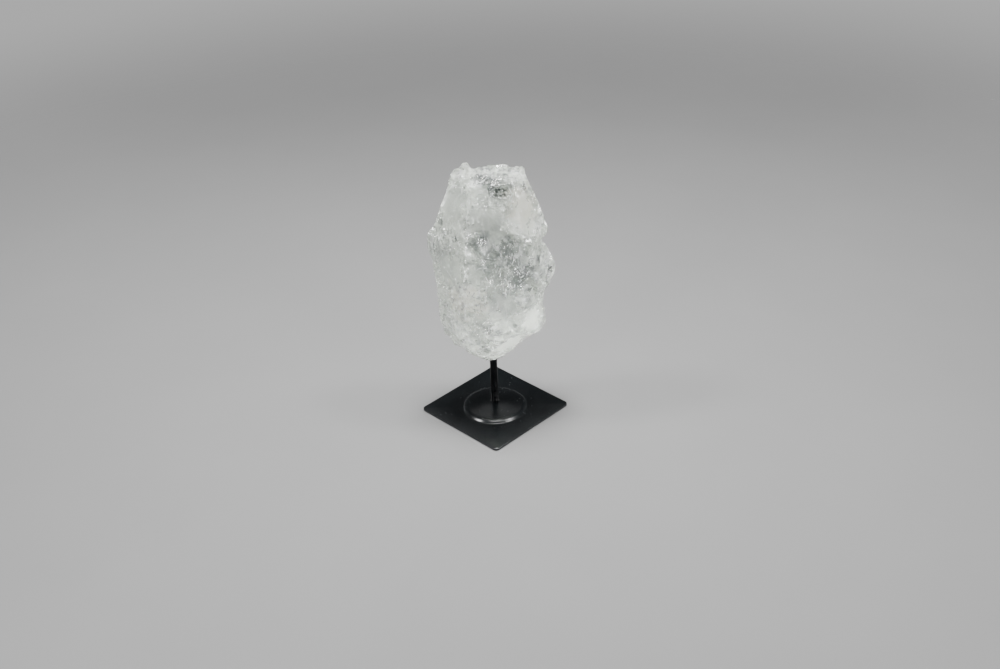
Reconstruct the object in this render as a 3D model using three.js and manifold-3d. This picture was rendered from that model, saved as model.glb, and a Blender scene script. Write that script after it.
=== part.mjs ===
// A rough chunk of clear quartz on a small steel stand.
//
// Millimetres, +Z up. The origin is the centre of the base's underside, on the surface it stands on.
// The base is a square whose corners lie on the X and Y axes, and the chunk's broad face looks along -Y.
//
// Three pieces: the quartz, drilled from below; a round rod glued into that hole, with a weld bead round
// its foot and its lower end peened over; and a square base pressed from sheet steel with a raised boss.

import * as THREE from "three";
import { ConvexGeometry } from "three/addons/geometries/ConvexGeometry.js";
import { ImprovedNoise } from "three/addons/math/ImprovedNoise.js";
import { mergeVertices } from "three/addons/utils/BufferGeometryUtils.js";
import Module from "manifold-3d";

const wasm = await Module();
wasm.setup();

// ---- driving dimensions ----

const base = {
  side: 70,
  sheet: 2, // thickness of the steel
  cornerRadius: 2.5,
  edgeRound: 0.5,
  bossRise: 4.2, // how far the boss's top stands above the plate
  bossRadius: 22.6,
  landRadius: 5, // the flat top of the boss, where the rod stands
};

const rod = {
  radius: 2.4,
  beadRadius: 3.7,
  beadHeight: 1.8,
  headRadius: 4,
  headHeight: 1.2,
  top: 49,
};

const roundSides = 48; // flats round the boss
const clearance = 0.3; // between the rod and the holes it passes into

// The shortest and longest edges of the finished chunk's triangles, about.
const shortestEdge = 1.6;
const longestEdge = 6.3;

// Flat cuts that knock the corners off each block of the chunk.
const chips = {
  each: 9,
  shallow: 0.3,
  deep: 1.4,
  saw: 400, // the side of the box that is cut away
};

// Flakes split off the sides all the way round. Each leaves a tilted face, with a step at its deep end.
const flakes = {
  count: 22,
  lowest: 60,
  highest: 160,
  narrow: 10,
  wide: 24,
  shallow: 0.8,
  deep: 2.6,
};

// How far the chunk's surface wanders from its flat cuts. The top face is the roughest.
const roughness = {
  broad: 0.9,
  fine: 0.3,
  top: 0.95,
  topFrom: 164,
  topTo: 170,
};

const landZ = base.sheet + base.bossRise;
const up = new THREE.Vector3(0, 0, 1);

// ---- solids and geometry ----

// A closed geometry as a solid that can be joined and cut.
function solidOf(geometry) {
  const bare = geometry.clone();
  bare.deleteAttribute("normal");
  bare.deleteAttribute("uv");
  const merged = mergeVertices(bare, 1e-4);
  return new wasm.Manifold(
    new wasm.Mesh({
      numProp: 3,
      vertProperties: merged.attributes.position.array,
      triVerts: new Uint32Array(merged.index.array),
    }),
  );
}

function geometryOf(solid) {
  const mesh = solid.getMesh();
  return indexedGeometry(mesh.vertProperties, mesh.triVerts);
}

function indexedGeometry(positions, triangles) {
  const geometry = new THREE.BufferGeometry();
  geometry.setAttribute("position", new THREE.BufferAttribute(new Float32Array(positions), 3));
  geometry.setIndex(new THREE.BufferAttribute(new Uint32Array(triangles), 1));
  geometry.computeVertexNormals();
  return geometry;
}

// A number from 0 to 1 that depends only on its seed.
function chance(seed) {
  const wave = Math.sin(seed * 127.1 + 311.7) * 43758.5453;
  return wave - Math.floor(wave);
}

// A turned shape: a profile of radius and height, swept round the Z axis.
function upright(profile, segments) {
  return new THREE.LatheGeometry(profile, segments).rotateX(Math.PI / 2);
}

// ---- the stand ----

function roundedSquare(side, radius) {
  const half = side / 2;
  const inner = half - radius;
  const outline = new THREE.Shape();
  outline.moveTo(inner, -half);
  outline.absarc(inner, -inner, radius, -Math.PI / 2, 0);
  outline.absarc(inner, inner, radius, 0, Math.PI / 2);
  outline.absarc(-inner, inner, radius, Math.PI / 2, Math.PI);
  outline.absarc(-inner, -inner, radius, Math.PI, Math.PI * 1.5);
  outline.closePath();
  return outline;
}

// The boss's upper surface from its land out to the plate: a shallow cone, then a round shoulder and a
// hollow foot that runs out flat.
function bossProfile() {
  const plate = base.sheet;
  const profile = new THREE.Path();
  profile.moveTo(base.landRadius, landZ);
  profile.lineTo(base.bossRadius - 4.2, plate + 1.75);
  profile.quadraticCurveTo(base.bossRadius - 2.6, plate + 1.5, base.bossRadius - 1.9, plate + 0.75);
  profile.quadraticCurveTo(base.bossRadius - 1.2, plate, base.bossRadius, plate);
  return profile.getPoints(4);
}

function makeBase() {
  const { side, sheet, cornerRadius, edgeRound, bossRadius } = base;
  const rim = bossRadius + 1;
  const plate = new THREE.ExtrudeGeometry(roundedSquare(side - 2 * edgeRound, cornerRadius - edgeRound), {
    depth: sheet - 2 * edgeRound,
    bevelEnabled: true,
    bevelThickness: edgeRound,
    bevelSize: edgeRound,
    bevelSegments: 3,
    curveSegments: 4,
  });
  plate.translate(0, 0, edgeRound);
  plate.rotateZ(Math.PI / 4);
  const window = new THREE.CylinderGeometry(rim - 0.4, rim - 0.4, 4 * sheet, roundSides).rotateX(Math.PI / 2);
  const hole = rod.radius + clearance;
  const upper = [new THREE.Vector2(hole, landZ), ...bossProfile(), new THREE.Vector2(rim, sheet)];
  const under = upper.filter((point, i) => i < 3 || i % 2 === 0);
  const lower = under.map((point) => new THREE.Vector2(point.x, point.y - sheet));
  lower.push(new THREE.Vector2(rim, 0));
  const boss = upright([...lower, ...upper.reverse(), lower[0]], roundSides);
  return geometryOf(solidOf(plate).subtract(solidOf(window)).add(solidOf(boss)));
}

function makeRod() {
  const { radius, beadRadius, beadHeight, headRadius, headHeight, top } = rod;
  const headTop = landZ - base.sheet;
  const profile = new THREE.Path();
  profile.moveTo(0, headTop - headHeight);
  profile.lineTo(headRadius - 1, headTop - headHeight);
  profile.quadraticCurveTo(headRadius, headTop - headHeight, headRadius, headTop);
  profile.lineTo(radius, headTop);
  profile.lineTo(radius, landZ);
  profile.lineTo(beadRadius, landZ);
  profile.quadraticCurveTo(radius + 0.3, landZ + 0.3, radius, landZ + beadHeight);
  profile.lineTo(radius, top - 0.6);
  profile.lineTo(radius - 0.6, top);
  profile.lineTo(0, top);
  return upright(profile.getPoints(4), 24);
}

// ---- the quartz ----

// Corner points of the blocks that the chunk is made of. Each is the convex block round its corners.
const blocks = {
  trunk: [
    // top face
    [-19, 7, 172.5], [-8, 12.5, 171.3], [1, 13, 172.3], [14.6, 13, 172.3], [22.9, 8, 172],
    [24.2, 0, 168.6], [15, -11, 170.2], [-1, -13, 171], [-12, -12, 170.5],
    // sides, from the top down
    [-25.3, 1, 163], [-24, 11, 157], [-33.3, -2, 140], [-31, 13, 131], [-37, -3, 129.5], [-34.8, 10, 121],
    [-33.8, -2, 99], [-31.5, 13, 90], [-33.2, 0, 74.5], [-30.5, 10, 69], [-32, -4, 65.6],
    [30, -1, 154.8], [27, 12, 148], [34.3, -2, 133.5], [32.6, 11, 125], [32.8, -2, 99], [31.5, 12, 90],
    [33, 0, 70], [30.5, 9, 65.5], [31.5, -4, 63.5],
    // front, from the top down
    [-12.5, -20, 142], [4, -22.5, 144], [21, -19.5, 140], [30, -12, 135], [-17, -22.5, 102], [2, -25, 93],
    [21, -21.5, 97], [31, -10, 95], [-25, -15, 79], [-20, -17, 64], [0, -23.5, 75], [18, -18, 71],
    [5, -19, 60.5],
    // back, from the top down
    [-15, 18.5, 150], [12, 20, 151], [-23, 17.5, 128], [14, 24, 126], [28, 16, 122], [-20, 22, 103],
    [6, 25, 100], [26, 18.5, 94], [-21, 19, 78], [2, 22, 74], [22, 15, 72],
    // foot
    [-25, -6, 55], [-20.5, -6, 53.6], [-12.2, -6, 45.8], [-4.4, -4.6, 40], [3, -4.6, 41], [13.8, -6, 50.3],
    [21.6, -6, 58], [-4.4, 4.6, 40.4], [3.4, 4.6, 41.2], [-20, 11, 57], [12, 14, 55],
  ],
  peak: [
    [-12.2, 9, 177], [-17, 7.5, 175.8], [-20.6, 6, 173.4], [-25.3, 1, 163],
    [-7, 12, 169], [-4, 4, 168], [-15, -8, 168], [-20, 10, 160], [-12, 2, 150],
  ],
  leftTip: [
    [-39, 0, 134], [-39.5, 0, 129.6], [-37.6, 0, 119], [-36, 9, 122], [-33.8, 0, 139.4],
    [-30, -10, 134], [-26, -15.5, 121], [-33, -6, 108], [-26, 12, 128], [-28, 8, 110], [-20, 0, 120],
  ],
  rightShoulder: [
    [24.6, 0, 168.8], [15.5, -11, 170], [30.4, -1, 155], [37.9, -1, 134.2], [37, 8, 129.5], [35.4, -3, 130],
    [30, -13, 135.5], [21, -19.9, 140.3], [30, 12, 133], [27.5, 11.5, 150], [12, 0, 140], [22, -6, 128],
    [22, 8, 127],
  ],
  rightBulge: [
    [34.4, -1, 126], [40.9, 0, 111.5], [42.3, 1, 103.6], [36.3, 0, 93.2], [31, 0, 88], [40, 9, 100],
    [31, -14.5, 119], [37, -9.5, 107], [31, -15.5, 97], [24, -19.5, 117], [18, -16, 104],
    [33, 13, 117], [30, 16, 97], [16, 0, 92], [16, 0, 122],
  ],
  lowerRight: [
    [32.4, 0, 84], [35.2, 0, 74], [35.6, 0, 68], [32.8, -4, 62.8], [22, -6, 58.4], [33.5, 9, 66],
    [24, -16, 84], [30, -13.5, 80], [28.5, -13.5, 67], [17, -18.5, 69], [29, 13, 80], [20, 10, 60],
    [12, 0, 80], [10, 0, 64],
  ],
};

// Blocks broken away. Each runs deepest at one side, where it leaves a step, and out to nothing at another.
const breaks = {
  belowFrontLedge: [
    [-32, -44, 160], [38, -44, 130], [34, -44, 96], [-20, -44, 100],
    [-13, -19.2, 144.5], [4, -17.5, 141.5], [27, -12.5, 131.5], [19, -23.8, 97], [-6, -25.2, 103],
  ],
  underCentre: [
    [-10, -44, 128], [26, -44, 124], [12, -44, 104], [-4, -18.2, 124], [20, -17, 120], [10, -23, 108],
  ],
  leftOfCentre: [
    [-44, -44, 118], [-16, -44, 124], [-10, -44, 84], [-40, -44, 84],
    [-31, -10.5, 112], [-19, -20.4, 113], [-15, -24, 90], [-28, -15, 84],
  ],
  belowSmallLedge: [
    [-30, -44, 84], [-4, -44, 80], [-4, -44, 58], [-24, -44, 56],
    [-23, -13.5, 76.5], [-9, -19.8, 76], [-8, -21, 62], [-20, -16.5, 60],
  ],
  topFrontLeft: [
    [-18, -34, 176], [4, -34, 178], [0, -34, 152], [-14, -34, 156],
    [-11, -9, 171.5], [1, -9.5, 172], [-2, -18, 158], [-9, -16.5, 160],
  ],
  topFrontRight: [
    [0, -34, 172], [20, -34, 176], [18, -34, 150], [4, -34, 146],
    [2, -11.5, 169], [15, -8, 170], [14, -18, 152], [5, -19, 150],
  ],
  lowerLeftCorner: [
    [-50, -20, 78], [-24, -44, 70], [-20, -44, 50], [-40, -10, 46],
    [-32, -6, 73], [-23, -14.5, 69], [-19, -14, 58], [-28, -4.5, 60],
  ],
  foot: [
    [4, -40, 62], [34, -40, 66], [30, -20, 44], [2, -30, 40],
    [8, -17, 59], [22, -12, 62], [16, -5.5, 51.5], [3, -6, 43],
  ],
  backStep: [
    [-50, 44, 124], [14, 44, 134], [10, 44, 84], [-44, 44, 78],
    [-26, 13.5, 114], [8, 18, 125], [12, 25.4, 92], [-22, 20.5, 86],
  ],
  backCorner: [
    [14, 44, 176], [50, 20, 170], [50, 30, 118], [22, 44, 112],
    [14, 14.5, 160], [27, 8, 150], [31, 12, 126], [20, 20, 120],
  ],
  backFoot: [
    [-34, 44, 84], [-4, 44, 80], [2, 44, 46], [-30, 30, 46],
    [-24, 12.5, 78], [-8, 17, 71], [0, 15.5, 54], [-20, 12, 54],
  ],
};

// Shell-shaped hollows where flakes have come away: a centre and three half-widths.
const hollows = {
  centre: { at: [6, -46, 124], size: [24, 28, 17] },
  top: { at: [6, 2, 190], size: [19, 14, 19.5] },
  foot: { at: [-30, -16, 50], size: [10, 13, 9] },
  upperLeft: { at: [-40, -12, 153], size: [10, 16, 9] },
};

function block(corners) {
  return solidOf(new ConvexGeometry(corners.map((corner) => new THREE.Vector3(...corner))));
}

// A block with slivers knocked off its corners by flat cuts in many directions.
function chippedBlock(corners, seed) {
  const points = corners.map((corner) => new THREE.Vector3(...corner));
  let whole = block(corners);
  for (let i = 0; i < chips.each; i++) {
    const turn = 2 * Math.PI * chance(seed + i);
    const rise = 1.4 * chance(seed + i + 0.3) - 0.7;
    const outward = new THREE.Vector3(Math.cos(turn), Math.sin(turn), rise).normalize();
    const reach = Math.max(...points.map((point) => point.dot(outward)));
    const depth = chips.shallow + (chips.deep - chips.shallow) * chance(seed + i + 0.6);
    const away = new THREE.BoxGeometry(chips.saw, chips.saw, chips.saw).translate(0, 0, chips.saw / 2);
    away.applyQuaternion(new THREE.Quaternion().setFromUnitVectors(up, outward));
    away.translate(...outward.multiplyScalar(reach - depth).toArray());
    whole = whole.subtract(solidOf(away));
  }
  return whole;
}

// A tilted box that takes flake number i off the chunk, where a ray from outside meets the chunk's side.
function flake(chunk, i) {
  const turn = 2.4 * i; // close to the golden angle, so that the flakes spread evenly
  const height = flakes.lowest + (flakes.highest - flakes.lowest) * chance(i + 0.1);
  const inward = new THREE.Vector3(-Math.cos(turn), -Math.sin(turn), 0);
  const ray = new THREE.Raycaster(inward.clone().multiplyScalar(-base.side).setZ(height), inward);
  const [hit] = ray.intersectObject(new THREE.Mesh(geometryOf(chunk)));
  const length = flakes.narrow + (flakes.wide - flakes.narrow) * chance(i + 0.2);
  const width = length * (0.6 + 0.5 * chance(i + 0.4));
  const depth = flakes.shallow + (flakes.deep - flakes.shallow) * chance(i + 0.7);
  const box = new THREE.BoxGeometry(width, length, length).translate(0, 0, length / 2);
  box.rotateX(-Math.atan(depth / (length / 2)));
  box.rotateY(0.3 * chance(i + 0.8) - 0.15);
  box.rotateZ(2 * Math.PI * chance(i + 0.5));
  box.applyQuaternion(new THREE.Quaternion().setFromUnitVectors(up, hit.face.normal));
  box.translate(...hit.point.toArray());
  return solidOf(box);
}

function shell({ at, size }) {
  const hollow = new THREE.IcosahedronGeometry(1, 5);
  hollow.scale(...size);
  hollow.translate(...at);
  return solidOf(hollow);
}

// The triangles round each point, as sets of triangle numbers.
function fansOf(triangles) {
  const fans = new Map();
  triangles.forEach((triangle, t) => {
    for (const v of triangle) {
      if (!fans.has(v)) fans.set(v, new Set());
      fans.get(v).add(t);
    }
  });
  return fans;
}

function normalOf(points, [a, b, c]) {
  const edge = points[b].clone().sub(points[a]);
  return edge.cross(points[c].clone().sub(points[a])).normalize();
}

// Draws the ends of every edge shorter than the limit together, where the surface stays closed and no
// triangle turns over.
function closeShortEdges(points, triangles, limit) {
  let kept = triangles;
  let changed = true;
  while (changed) {
    changed = false;
    const fans = fansOf(kept);
    const touched = new Set();
    const gone = new Set();
    const around = (v) => new Set([...fans.get(v)].flatMap((t) => kept[t]).filter((w) => w !== v));
    const short = [];
    for (const triangle of kept) {
      for (let k = 0; k < 3; k++) {
        const [a, b] = [triangle[k], triangle[(k + 1) % 3]];
        const length = points[a].distanceTo(points[b]);
        if (a < b && length < limit) short.push({ a, b, length });
      }
    }
    short.sort((one, other) => one.length - other.length);
    for (const { a, b } of short) {
      const ringA = around(a);
      const ringB = around(b);
      const ring = [...ringA, ...ringB];
      if (ring.some((v) => touched.has(v))) continue;
      if ([...ringA].filter((v) => ringB.has(v)).length !== 2) continue;
      const middle = points[a].clone().add(points[b]).multiplyScalar(0.5);
      const holdsBoth = (t) => kept[t].includes(a) && kept[t].includes(b);
      const moved = [...fans.get(a), ...fans.get(b)].filter((t) => !holdsBoth(t));
      const before = moved.map((t) => normalOf(points, kept[t]));
      const [oldA, oldB] = [points[a], points[b]];
      points[a] = points[b] = middle;
      if (moved.some((t, i) => !(normalOf(points, kept[t]).dot(before[i]) > 0.3))) {
        [points[a], points[b]] = [oldA, oldB];
        continue;
      }
      for (const t of fans.get(b)) {
        if (kept[t].includes(a)) gone.add(t);
        else kept[t] = kept[t].map((v) => (v === b ? a : v));
      }
      for (const v of ring) touched.add(v);
      changed = true;
    }
    kept = kept.filter((triangle, t) => !gone.has(t));
  }
  return kept;
}

// Halves the longest edge left, and the two triangles at it, until no edge is longer than the limit.
function splitLongEdges(points, triangles, limit) {
  let kept = triangles;
  for (let reach = 128; reach >= limit; reach = reach === limit ? 0 : Math.max(limit, reach / 1.25)) {
    let changed = true;
    while (changed) {
      changed = false;
      const middles = new Map();
      const longest = (triangle) => {
        const lengths = triangle.map((v, k) => points[v].distanceTo(points[triangle[(k + 1) % 3]]));
        const k = lengths.indexOf(Math.max(...lengths));
        return lengths[k] > reach ? k : -1;
      };
      const keyOf = (a, b) => (a < b ? `${a},${b}` : `${b},${a}`);
      for (const triangle of kept) {
        const k = longest(triangle);
        if (k < 0) continue;
        const [a, b] = [triangle[k], triangle[(k + 1) % 3]];
        if (middles.has(keyOf(a, b))) continue;
        middles.set(keyOf(a, b), points.length);
        points.push(points[a].clone().add(points[b]).multiplyScalar(0.5));
        changed = true;
      }
      kept = kept.flatMap((corner) => divided(corner, (a, b) => middles.get(keyOf(a, b)) ?? -1));
    }
  }
  return kept;
}

// One triangle divided at whichever of its edges have a middle point.
function divided(corner, middleOf) {
  const middle = [0, 1, 2].map((k) => middleOf(corner[k], corner[(k + 1) % 3]));
  const cuts = middle.filter((m) => m >= 0).length;
  if (cuts === 0) return [corner];
  const turn = cuts === 2 ? middle.findIndex((m) => m < 0) : middle.findIndex((m) => m >= 0);
  const [a, b, c] = [0, 1, 2].map((k) => corner[(turn + k) % 3]);
  const [ab, bc, ca] = [0, 1, 2].map((k) => middle[(turn + k) % 3]);
  if (cuts === 1) return [[a, ab, c], [ab, b, c]];
  if (cuts === 2) return [[a, b, bc], [a, bc, ca], [ca, bc, c]];
  return [[a, ab, ca], [ab, b, bc], [ca, bc, c], [ab, bc, ca]];
}

// The solid's surface again, in triangles of about one size.
function evened(solid) {
  const mesh = solid.getMesh();
  const points = [];
  for (let i = 0; i < mesh.vertProperties.length; i += 3) {
    points.push(new THREE.Vector3().fromArray(mesh.vertProperties, i));
  }
  let triangles = [];
  for (let i = 0; i < mesh.triVerts.length; i += 3) triangles.push([...mesh.triVerts.slice(i, i + 3)]);
  triangles = closeShortEdges(points, triangles, shortestEdge);
  triangles = splitLongEdges(points, triangles, longestEdge);
  const numbers = new Map();
  const positions = [];
  for (const v of triangles.flat()) {
    if (numbers.has(v)) continue;
    numbers.set(v, numbers.size);
    positions.push(...points[v].toArray());
  }
  return indexedGeometry(positions, triangles.flat().map((v) => numbers.get(v)));
}

const noise = new ImprovedNoise();

// Moves each point along its normal by two sizes of noise, drawn out upward. The top face is roughest.
function roughen(geometry) {
  const position = geometry.attributes.position;
  const normal = geometry.attributes.normal;
  for (let i = 0; i < position.count; i++) {
    const point = new THREE.Vector3().fromBufferAttribute(position, i);
    const out = new THREE.Vector3().fromBufferAttribute(normal, i);
    const broad = noise.noise(point.x / 11, point.y / 11, point.z / 16);
    const fine = noise.noise(point.x / 4 + 7, point.y / 4, point.z / 7);
    const upTop = THREE.MathUtils.smoothstep(point.z, roughness.topFrom, roughness.topTo);
    const grain = THREE.MathUtils.lerp(roughness.fine, roughness.top, upTop);
    point.addScaledVector(out, roughness.broad * broad + grain * fine);
    position.setXYZ(i, point.x, point.y, point.z);
  }
  return geometry;
}

function makeQuartz() {
  let chunk = Object.values(blocks)
    .map((corners, i) => chippedBlock(corners, 20 * i))
    .reduce((whole, next) => whole.add(next));
  for (const corners of Object.values(breaks)) chunk = chunk.subtract(block(corners));
  for (const hollow of Object.values(hollows)) chunk = chunk.subtract(shell(hollow));
  for (let i = 0; i < flakes.count; i++) chunk = chunk.subtract(flake(chunk, i));
  const rough = roughen(evened(chunk));
  const holeTop = rod.top + clearance;
  const drill = new THREE.CylinderGeometry(rod.radius + clearance, rod.radius + clearance, holeTop, 24);
  drill.rotateX(Math.PI / 2);
  drill.translate(0, 0, holeTop / 2);
  return geometryOf(solidOf(rough).subtract(solidOf(drill)));
}

// ---- the assembly ----

const paint = new THREE.MeshStandardMaterial({ color: 0x14181a, roughness: 0.35, metalness: 0.1 });
const rodPaint = new THREE.MeshStandardMaterial({ color: 0x101214, roughness: 0.3, metalness: 0.1 });
const crystal = new THREE.MeshStandardMaterial({ color: 0xd8dcd8, roughness: 0.25, metalness: 0 });

function piece(name, geometry, material) {
  const mesh = new THREE.Mesh(geometry, material);
  mesh.name = name;
  return mesh;
}

const group = new THREE.Group();
group.add(piece("base", makeBase(), paint));
group.add(piece("rod", makeRod(), rodPaint));
group.add(piece("quartz", makeQuartz(), crystal));

export default group;
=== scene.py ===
"""A rough chunk of clear quartz on a black steel stand.

Metres, +Z up. The row's origin is the centre of the base's underside, and the chunk's broad face looks
along -Y.
"""

import math

import bmesh
import bpy
from mathutils import Matrix, Vector, noise
from mathutils.bvhtree import BVHTree


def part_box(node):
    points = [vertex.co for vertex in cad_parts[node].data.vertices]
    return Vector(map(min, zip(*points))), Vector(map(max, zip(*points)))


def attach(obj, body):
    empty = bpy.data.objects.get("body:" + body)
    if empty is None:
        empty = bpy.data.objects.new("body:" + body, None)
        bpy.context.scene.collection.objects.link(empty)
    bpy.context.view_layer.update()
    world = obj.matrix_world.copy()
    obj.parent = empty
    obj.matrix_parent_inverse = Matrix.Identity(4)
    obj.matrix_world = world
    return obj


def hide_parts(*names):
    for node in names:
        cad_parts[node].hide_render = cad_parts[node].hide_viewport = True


MM = 0.001

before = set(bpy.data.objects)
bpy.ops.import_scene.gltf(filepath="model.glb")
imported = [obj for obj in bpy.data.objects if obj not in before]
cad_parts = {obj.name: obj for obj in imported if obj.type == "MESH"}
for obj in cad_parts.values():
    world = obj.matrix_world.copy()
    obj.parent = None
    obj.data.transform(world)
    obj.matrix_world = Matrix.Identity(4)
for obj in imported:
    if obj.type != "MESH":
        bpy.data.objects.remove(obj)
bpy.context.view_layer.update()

noise.seed_set(1)  # without a seed, noise vectors differ from one run to the next


# ---- sizes, read off the frame where it has them ----

_, base_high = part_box("base")
rod_low, rod_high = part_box("rod")
quartz_low, quartz_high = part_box("quartz")

# the stand
SIDE = 70 * MM
SHEET = 2 * MM
CORNER = 2.5 * MM
EDGE_ROUND = 0.5 * MM
BOSS_RADIUS = 22.6 * MM
LAND_RADIUS = 5 * MM
LAND = base_high.z
ROD_RADIUS = 2.4 * MM
HOLE_RADIUS = ROD_RADIUS + 0.3 * MM
BEAD_RADIUS = 3.2 * MM
BEAD_HEIGHT = 0.9 * MM
HEAD_RADIUS = 4 * MM
TIP_CHAMFER = 0.6 * MM
BOSS_STEPS = 96
CORNER_STEPS = 10
ROD_STEPS = 64

# the skin of the quartz, whose breaks are sized in millimetres
SKIN_CUTS = 4
SOFT_PASSES = 8
WORN_PASSES = 200
WANDER_SIZE = 9
WANDER_PUSH = 2.2
LARGE_BREAK = 11
MIDDLE_BREAK = 5
SMALL_BREAK = 2.8
FLAKE = 2.4
GRAIN = 0.9
TALL = 0.6  # large breaks are higher than they are wide
DRAWN_OUT = 0.16  # and growth lines much higher
WORN_AWAY = 0.6
SKIN_SMOOTH_ANGLE = 28
MARKS = ("rough", "clear", "drawn", "warm", "tone", "worn", "ridge")

# the sheets inside it
VEIL_COUNT = 110
VEIL_CELL = 0.8 * MM
VEIL_SHEET = 0.06 * MM
VEIL_MARGIN = 0.35 * MM
VEIL_WAVE = 0.8 * MM
VEIL_LACE = -0.2  # the lower this is, the fewer holes a sheet has
MILKY_LACE = -1.1
MILKY_LAYERS = 4
MILKY_DEPTH = 0.9  # in millimetres, as the step from one sheet to the next is
MILKY_STEP = 0.8
MILKY_SEED = 200

# the chips on it
CHIP_SEED = 1000
CHIP_CORNERS = 5
CHIP_TOP = 0.65
CHIP_THICKNESS = 0.25 * MM
CHIP_TILT = 0.16
CHIP_SMOOTH_ANGLE = 20
SCATTER_COUNT = 700
SCATTER_ROUGHNESS = 0.4
LEAN_LIMIT = 0.78  # a chip leans to a face of the crystal that is no further from the skin's normal

OUTSIDE = 80 * MM  # rays at the skin start this far from the middle
WELD = 0.001 * MM  # vertices that are nearer than this are one
WHOLE_TURN = 6.28  # radians, near enough for a piece that is turned at random


# ---- meshes ----

def finished(mesh, name, material, body="root", smooth_angle=40):
    """A bmesh made into a piece of that name on that body, smooth where its faces meet at a low angle."""
    data = bpy.data.meshes.new(name)
    mesh.to_mesh(data)
    mesh.free()
    piece = bpy.data.objects.new(name, data)
    bpy.context.scene.collection.objects.link(piece)
    data.materials.append(material)
    data.shade_smooth()
    data.set_sharp_from_angle(angle=math.radians(smooth_angle))
    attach(piece, body)
    return piece


def curve_points(start, control, end, count):
    """Points of a quadratic curve after its start."""
    points = []
    for i in range(1, count + 1):
        t = i / count
        points.append(start.lerp(control, t).lerp(control.lerp(end, t), t))
    return points


def turned(mesh, profile, segments):
    """Spins a profile, whose points are a radius and a height, once round Z."""
    vertices = [mesh.verts.new((point.x, 0, point.y)) for point in profile]
    edges = [mesh.edges.new(pair) for pair in zip(vertices, vertices[1:])]
    bmesh.ops.spin(
        mesh,
        geom=vertices + edges,
        axis=(0, 0, 1),
        cent=(0, 0, 0),
        steps=segments,
        angle=2 * math.pi,
        use_merge=True,
    )


def join(whole, part):
    """Adds a finished bmesh to the whole one, and frees it."""
    data = bpy.data.meshes.new("part")
    part.to_mesh(data)
    part.free()
    whole.from_mesh(data)
    bpy.data.meshes.remove(data)


def kept_in(point, low, high):
    """The point, or the nearest one in the box between the low and the high corner."""
    return Vector([max(least, min(most, value)) for value, least, most in zip(point, low, high)])


# ---- materials ----

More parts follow.
